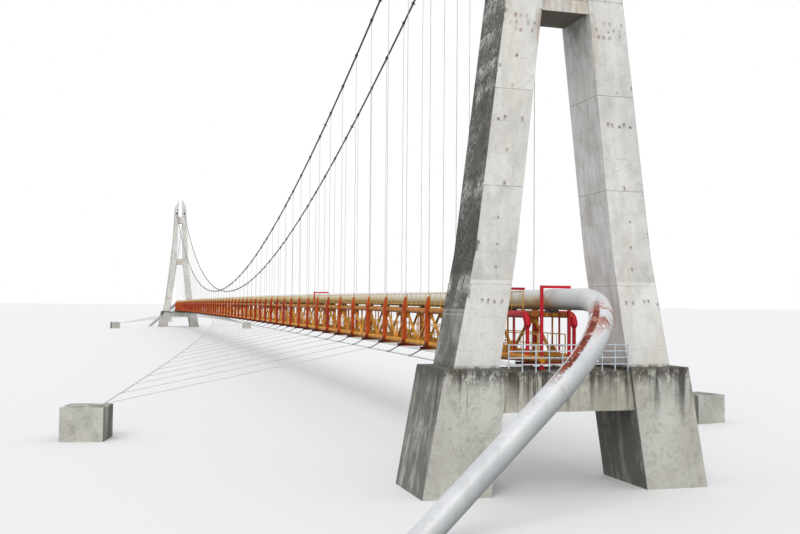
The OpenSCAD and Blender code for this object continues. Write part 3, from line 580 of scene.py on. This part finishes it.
# Silver-white main: dust on the span, soot and painted shade on the underside, painted shade on the runs,
# brown grime in the towers, rust
def pipe_paint():
    p = Paint("pipe_paint", 0.45, 0.1)
    span = p.ramp(p.sub(p.size(p.x), tower_x), SPAN_END, 0)
    streak = p.patches(0.50, 0.72, 40, (1, 1, 0.08), 5)
    speck = p.patches(0.56, 0.68, 110, detail=6, rough=0.7)
    # Soot, and painted shade, on the faces that look down
    soot_and_shade = p.mul(p.ramp(p.nz, -0.45, -0.88), p.patches(0.15, 0.45, 16, (0.6, 1, 1), 5))
    shade = p.mul(p.rest(span), p.ramp(p.nz, 0.5, -0.45), p.ramp(p.z, pipe_z, pier_top))
    at_tower = p.ramp(p.size(p.sub(p.size(p.x), tower_x - 0.4 * M)), *TOWER_GRIME)
    grime = p.mul(at_tower, p.ramp(p.nz, 0.5, -0.2), p.patches(0.42, 0.58, 30, detail=5))
    col = p.coats(p.mix(p.patches(0.35, 0.7, 7, (0.5, 1, 1), 5), (0.68, 0.69, 0.70), (0.54, 0.555, 0.57)),
                  (span, 0.4, (0.78, 0.78, 0.77)), (streak, 0.32, (0.36, 0.355, 0.33)),
                  (speck, 0.35, (0.30, 0.28, 0.25)))
    col = p.coats(pipe_dust(p, span, col), (soot_and_shade, 0.88, (0.095, 0.065, 0.035)),
                  (shade, 0.7, (0.30, 0.31, 0.32)), (grime, 0.7, (0.38, 0.17, 0.05)))
    col, rusty = pipe_rust(p, col)
    return p.done(col, p.sub(p.mul(p.noise(220, detail=3), 0.4), rusty), 0.0004,
                  p.ramp(p.most(soot_and_shade, rusty), -1.0, 1.1))


# Zinc with a fine spangle and a few streaks of rust
def zinc(name):
    p = Paint(name, 0.42, 0.35)
    spangle = p.mix(p.patches(0.4, 0.62, 120, detail=5), (0.62, 0.68, 0.74), (0.46, 0.51, 0.57))
    rusty = p.patches(0.62, 0.72, 60, (1, 1, 0.3), 5)
    return p.done(p.coats(spangle, (rusty, 0.5, (0.32, 0.20, 0.12))), p.noise(300, detail=2), 0.0002)


# Chequered plate of the walkway
def walkway_plate():
    p, col, worn = painted("walkway_plate", (0.30, 0.12, 0.05), (0.22, 0.10, 0.05), (0.12, 0.05, 0.02), 0.8)
    frequency = 1600.0
    ribs = [p.calc("SINE", p.mul(line, frequency)) for line in (p.add(p.x, p.y), p.sub(p.x, p.y))]
    return p.done(col, p.ramp(p.mul(*ribs), 0.2, 0.8), 0.0004, p.ramp(worn, -1.0, 1.3))


looks = {
    "tower_concrete": tower_concrete(),
    "pier_concrete": pier_concrete(),
    "cable_steel": wire("cable_steel", (0.072, 0.074, 0.078), (0.045, 0.046, 0.048), 900),
    "dark_steel": finish_paint(*painted(
        "dark_steel", (0.07, 0.07, 0.075), (0.11, 0.10, 0.10), (0.12, 0.05, 0.02), 0.4)),
    "wire_steel": wire("wire_steel", (0.62, 0.63, 0.61), (0.42, 0.42, 0.40), 1500),
    "yellow_paint": yellow_paint(),
    "orange_paint": orange_paint(),
    "red_paint": finish_paint(*painted(
        "red_paint", (0.58, 0.008, 0.022), (0.64, 0.02, 0.035), (0.22, 0.015, 0.012), 0.2, 0.25)),
    "rail_paint": finish_paint(*painted(
        "rail_paint", (0.70, 0.38, 0.03), (0.76, 0.48, 0.07), (0.32, 0.12, 0.02), 0.3, 0.3)),
    "walkway_plate": walkway_plate(),
    "galvanised": zinc("galvanised"),
    "pipe_paint": pipe_paint(),
}
for part in frame["record"]["subparts"]:
    mesh = nodes[part["node"]].data
    mesh.materials.clear()
    mesh.materials.append(looks[part["material_slot"]])


# Collects boxes, plates, rods and rings in one mesh, so that many small things are one piece
class Pieces:
    def __init__(self):
        self.points, self.faces = [], []

    # Rings of points joined one to the next and closed at both ends
    def loft(self, *rings):
        n, k = len(rings[0]), len(self.points)
        for ring in rings:
            self.points += [tuple(p) for p in ring]
        for j in range(len(rings) - 1):
            a, b = k + j * n, k + (j + 1) * n
            self.faces += [(a + i, a + (i + 1) % n, b + (i + 1) % n, b + i) for i in range(n)]
        last = k + (len(rings) - 1) * n
        self.faces += [tuple(k + i for i in reversed(range(n))), tuple(last + i for i in range(n))]

    def box(self, lo, hi):
        a = [(lo[0], lo[1], lo[2]), (hi[0], lo[1], lo[2]), (hi[0], hi[1], lo[2]), (lo[0], hi[1], lo[2])]
        self.loft(a, [(x, y, hi[2]) for x, y, _ in a])

    # A plate across Y whose outline is given in X and Z
    def plate(self, outline, y, thick):
        self.loft([(x, y + thick / 2, z) for x, z in outline], [(x, y - thick / 2, z) for x, z in outline])

    def rod(self, a, b, radius, sides=6, end_radius=None):
        a, b = Vector(a), Vector(b)
        d = (b - a).normalized()
        side = d.orthogonal().normalized() if abs(d.z) > 0.99 else d.cross(Vector((0, 0, 1))).normalized()
        other = d.cross(side)
        ring = [side * math.cos(t) + other * math.sin(t)
                for t in (2 * math.pi * (i + 0.5) / sides for i in range(sides))]
        self.loft([a + r * radius for r in ring], [b + r * (end_radius or radius) for r in ring])

    # An upright rod over one place
    def pin(self, x, y, lo, hi, radius, sides=6, end_radius=None):
        self.rod((x, y, lo), (x, y, hi), radius, sides, end_radius)

    def make(self, name, look, smooth=False):
        mesh = bpy.data.meshes.new(name)
        mesh.from_pydata(self.points, [], self.faces)
        mesh.validate()
        if smooth:
            mesh.polygons.foreach_set("use_smooth", [True] * len(mesh.polygons))
        mesh.materials.append(looks[look])
        obj = bpy.data.objects.new(name, mesh)
        bpy.context.scene.collection.objects.link(obj)
        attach(obj, "root")


# Thin uprights each metre between those of the CAD rails
def rail_uprights(name, rail, y):
    p = Pieces()
    lo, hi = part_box(rail)
    high = hi[2] - max(z for _, z in deck_rise)
    half, inset, end = 0.012 * M, 0.02 * M, 0.1 * M
    for side in SIDES:
        for x in metre_points:
            if lo[0] + end < x < hi[0] - end:
                up = at(deck_rise, x)
                p.box((x - half, side * y - half, lo[2] + inset + up),
                      (x + half, side * y + half, high - inset + up))
    p.make(name, "rail_paint")


# Gussets in the corners of the truss, above the bottom chord and below the top one
def gussets():
    p = Pieces()
    thick, reach, tip, rise = 0.03 * M, 0.62 * M, 0.2 * M, 0.36 * M
    over_low, under_top = 0.15 * M, 0.16 * M
    for side in SIDES:
        for x in panel_middles:
            z = chord_low + at(deck_rise, x) + over_low
            p.plate([(x - reach, z), (x + reach, z), (x + tip, z + rise), (x - tip, z + rise)],
                    side * truss_y, thick)
        for x in panel_points:
            z = chord_top + at(deck_rise, x) - under_top
            p.plate([(x - tip, z - rise), (x + tip, z - rise), (x + reach, z), (x - reach, z)],
                    side * truss_y, thick)
    p.make("truss_gussets", "yellow_paint")


# Forked socket and turnbuckle at the foot of each hanger, and a socket with a pin at the head of a long one
def hanger_sockets():
    p = Pieces()
    radius, foot_neck, head_neck = 0.034 * M, 0.02 * M, 0.026 * M
    foot, turnbuckle, neck = 0.02 * M, 0.30 * M, 0.42 * M
    head, head_length, long_hanger = 0.02 * M, 0.26 * M, 1.2 * M
    pin_over, pin_half, pin_radius = 0.05 * M, 0.06 * M, 0.025 * M
    for (k, side), points in corners_by_panel("hangers").items():
        x, y = k * PANEL, side * CABLE_Y
        low, high = min(q.z for q in points), max(q.z for q in points)
        p.pin(x, y, low + foot, low + turnbuckle, radius, 8)
        p.pin(x, y, low + turnbuckle, low + neck, radius, 8, foot_neck)
        if high - low > long_hanger:
            p.pin(x, y, high - head, high - head_length, radius, 8, head_neck)
            z = high + pin_over
            p.rod((x, y - pin_half, z), (x, y + pin_half, z), pin_radius)
    p.make("hanger_sockets", "wire_steel")


# Bolts through the flanges of the cable clamps
def clamp_bolts():
    p = Pieces()
    out_x, out_y, radius = 0.07 * M, 0.085 * M, 0.022 * M
    foot, head, flange_reach = 0.17 * M, 0.04 * M, 0.2 * M
    for (k, side), points in corners_by_panel("cable_clamps").items():
        x, y = k * PANEL, side * CABLE_Y
        top = max(q.z for q in points if abs(q.x - x) < flange_reach)
        for dx in SIDES:
            for dy in SIDES:
                p.pin(x + dx * out_x, y + dy * out_y, top - foot, top - head, radius)
    p.make("clamp_bolts", "dark_steel")


# Bands with one long cross bolt that keep the main cables' strands together, in each fourth panel
def strand_bands():
    p = Pieces()
    half, proud, tilt = 0.08 * M, 0.03 * M, math.radians(30)
    bolt, bolt_radius = 0.20 * M, 0.02 * M
    nut, nut_half, nut_radius = 0.15 * M, 0.02 * M, 0.045 * M
    across = Vector((0, 1, 0))
    for node in ("left_main_cable", "right_main_cable"):
        lo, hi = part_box(node)
        radius = (hi[1] - lo[1]) / 2 + proud
        rings = {}
        for q in corners(node):
            rings.setdefault(round(q.x / PANEL), []).append(q)
        for k in range(1, span_panels - 1, 4):
            for end in SIDES:
                a, b = middle_of(rings[end * k]), middle_of(rings[end * (k + 1)])
                middle, along = (a + b) / 2, (b - a).normalized() * end
                out = across * math.cos(tilt) + along.cross(across) * math.sin(tilt)
                p.rod(middle - along * half, middle + along * half, radius, 16)
                p.rod(middle - out * bolt, middle + out * bolt, bolt_radius)
                for side in SIDES:
                    c = middle + out * nut * side
                    p.rod(c - out * nut_half, c + out * nut_half, nut_radius)
    p.make("strand_bands", "dark_steel")


# Welded seams of the main, one each 12 m
def pipe_welds():
    p = Pieces()
    step, half, rise, sides = 12 * M, 0.022 * M, 0.012 * M, 40
    turns = [2 * math.pi * i / sides for i in range(sides)]
    count = int(tower_x / step)
    for x in (k * step for k in range(-count, count + 1)):
        z = pipe_z + at(pipe_rise, x)
        p.loft(*([(x + dx, r * math.cos(t), z + r * math.sin(t)) for t in turns]
                 for dx, r in ((-half, PIPE_R), (0, PIPE_R + rise), (half, PIPE_R))))
    p.make("pipe_welds", "pipe_paint", True)


# Clips that hold the steadying lines on the outriggers' tips, each with a bolt
def line_clips():
    p = Pieces()
    lo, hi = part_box("steadying_lines")
    line_r, clip_half, clip_r = 0.06 * M, 0.08 * M, 0.062 * M
    over, inner, outer, bolt_r = 0.05 * M, 0.1 * M, 0.07 * M, 0.02 * M
    y = hi[1] - line_r
    for side in SIDES:
        for x in panel_points:
            z = lo[2] + line_r + at(deck_rise, x)
            p.rod((x - clip_half, side * y, z), (x + clip_half, side * y, z), clip_r, 10)
            p.rod((x, side * (y - inner), z + over), (x, side * (y + outer), z + over), bolt_r)
    p.make("line_clips", "dark_steel")


# Foot plates with four bolts each, under the red frames that stand on the cap beams
def frame_feet():
    p = Pieces()
    tube_half, out = 0.065 * M, 0.4 * M
    half, thick, bolt_out = 0.14 * M, 0.03 * M, 0.1 * M
    bolt_foot, bolt_head, bolt_r = 0.02 * M, 0.07 * M, 0.02 * M
    frame_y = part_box("pipe_frames")[1][1] - tube_half
    for end in SIDES:
        for side in SIDES:
            x, y = end * (tower_x + out), side * frame_y
            p.box((x - half, y - half, cap_top), (x + half, y + half, cap_top + thick))
            for dx in SIDES:
                for dy in SIDES:
                    p.pin(x + dx * bolt_out, y + dy * bolt_out,
                          cap_top + bolt_foot, cap_top + bolt_head, bolt_r)
    p.make("frame_foot_plates", "red_paint")


# Foot plates under the posts of the cap railings
def railing_feet():
    p = Pieces()
    lo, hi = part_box("cap_railings")
    half, thick, pitch = 0.05 * M, 0.02 * M, 0.68 * M
    count = round((hi[1] - lo[1]) / pitch)
    for end in SIDES:
        x = end * (hi[0] - RAIL_HALF)
        for i in range(count + 1):
            y = lo[1] + RAIL_HALF + (hi[1] - lo[1] - 2 * RAIL_HALF) * i / count
            p.box((x - half, y - half, cap_top), (x + half, y + half, cap_top + thick))
    p.make("railing_foot_plates", "galvanised")


# Steel collars where the cables and the wind stays enter their blocks: a flange and a tapered sleeve
def cable_collars():
    p = Pieces()
    main, wind = (0.19 * M, 0.5 * M), (0.09 * M, 0.3 * M)
    flange_share, flange_scale, taper = 0.35, 1.5, 0.6
    near, next_ring = 0.2 * M, 2 * M
    for node, (radius, length) in (("left_main_cable", main), ("right_main_cable", main),
                                   ("left_wind_cable", wind), ("right_wind_cable", wind)):
        points = corners(node)
        for end in SIDES:
            tip = end * max(q.x * end for q in points)
            a = middle_of([q for q in points if abs(q.x - tip) < near])
            inward = [q for q in points if next_ring < abs(q.x - tip) and q.x * end > 0]
            after = end * max(q.x * end for q in inward)
            d = (middle_of([q for q in inward if abs(q.x - after) < near]) - a).normalized()
            flange = a + d * length * flange_share
            p.rod(a, flange, radius * flange_scale, 16)
            p.rod(flange, a + d * length, radius, 16, radius * taper)
    p.make("cable_collars", "dark_steel")


# Bolts that hold the cast saddles down in the slots of the horns
def saddle_bolts():
    p = Pieces()
    rows, out_y = (-1.1 * M, -0.4 * M, 0.4 * M, 1.1 * M), 0.24 * M
    foot_plate, bolt_over, bolt_r = 0.04 * M, 0.1 * M, 0.03 * M
    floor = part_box("cable_saddles")[0][2]
    for end in SIDES:
        for side in SIDES:
            for dx in rows:
                for dy in SIDES:
                    p.pin(end * tower_x + dx, side * CABLE_Y + dy * out_y,
                          floor, floor + foot_plate + bolt_over, bolt_r)
    p.make("saddle_bolts", "dark_steel")


rail_uprights("handrail_uprights", "left_handrail", truss_y)
rail_uprights("walkway_uprights", "walkway_rails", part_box("walkway_rails")[1][1] - RAIL_HALF)
gussets()
hanger_sockets()
clamp_bolts()
strand_bands()
pipe_welds()
line_clips()
frame_feet()
railing_feet()
cable_collars()
saddle_bolts()


# How much a ray is one that shows a colour and not one that carries light
def seen_rays(tree):
    rays = tree.nodes.new("ShaderNodeLightPath")
    seen = rays.outputs["Is Camera Ray"]
    for name in ("Is Glossy Ray", "Is Transmission Ray"):
        more = tree.nodes.new("ShaderNodeMath")
        more.operation = "MAXIMUM"
        tree.links.new(seen, more.inputs[0])
        tree.links.new(rays.outputs[name], more.inputs[1])
        seen = more.outputs[0]
    return seen


FLOOR_HALF = 300
FLOOR_LIT, FLOOR_SEEN = (0.30, 0.31, 0.28), (0.80, 0.80, 0.79)
SKY_COLOUR, SKY_STRENGTH, SEEN_SKY = (0.93, 0.95, 1, 1), 0.85, (1, 1, 1, 1)
SUN_ENERGY, SUN_SPREAD, SUN_COLOUR = 1.5, math.radians(35), (1, 0.98, 0.95)
SUN_TURN = (math.radians(-20), math.radians(-48), 0)


# A wide floor that is pale where it is seen
def add_floor():
    mesh = bpy.data.meshes.new("floor")
    square = [(-1, -1), (1, -1), (1, 1), (-1, 1)]
    mesh.from_pydata([(x * FLOOR_HALF, y * FLOOR_HALF, 0) for x, y in square], [], [(0, 1, 2, 3)])
    floor = bpy.data.objects.new("floor", mesh)
    p = Paint("floor", 0.9)
    mesh.materials.append(p.done(p.mix(seen_rays(p.tree), FLOOR_LIT, FLOOR_SEEN)))
    bpy.context.scene.collection.objects.link(floor)


# A plain sky that is white where it is seen
def add_sky():
    world = bpy.data.worlds.new("world")
    bpy.context.scene.world = world
    world.use_nodes = True
    t = world.node_tree
    sky = t.nodes["Background"]
    sky.inputs["Color"].default_value = SKY_COLOUR
    sky.inputs["Strength"].default_value = SKY_STRENGTH
    white = t.nodes.new("ShaderNodeBackground")
    white.inputs["Color"].default_value = SEEN_SKY
    mix = t.nodes.new("ShaderNodeMixShader")
    t.links.new(seen_rays(t), mix.inputs[0])
    t.links.new(sky.outputs[0], mix.inputs[1])
    t.links.new(white.outputs[0], mix.inputs[2])
    t.links.new(mix.outputs[0], t.nodes["World Output"].inputs["Surface"])


# One soft lamp behind the photographer, a little to the left
def add_sun():
    sun = bpy.data.lights.new("sun", "SUN")
    sun.energy = SUN_ENERGY
    sun.angle = SUN_SPREAD
    sun.color = SUN_COLOUR
    lamp = bpy.data.objects.new("sun", sun)
    lamp.rotation_euler = SUN_TURN
    bpy.context.scene.collection.objects.link(lamp)


add_floor()
add_sky()
add_sun()
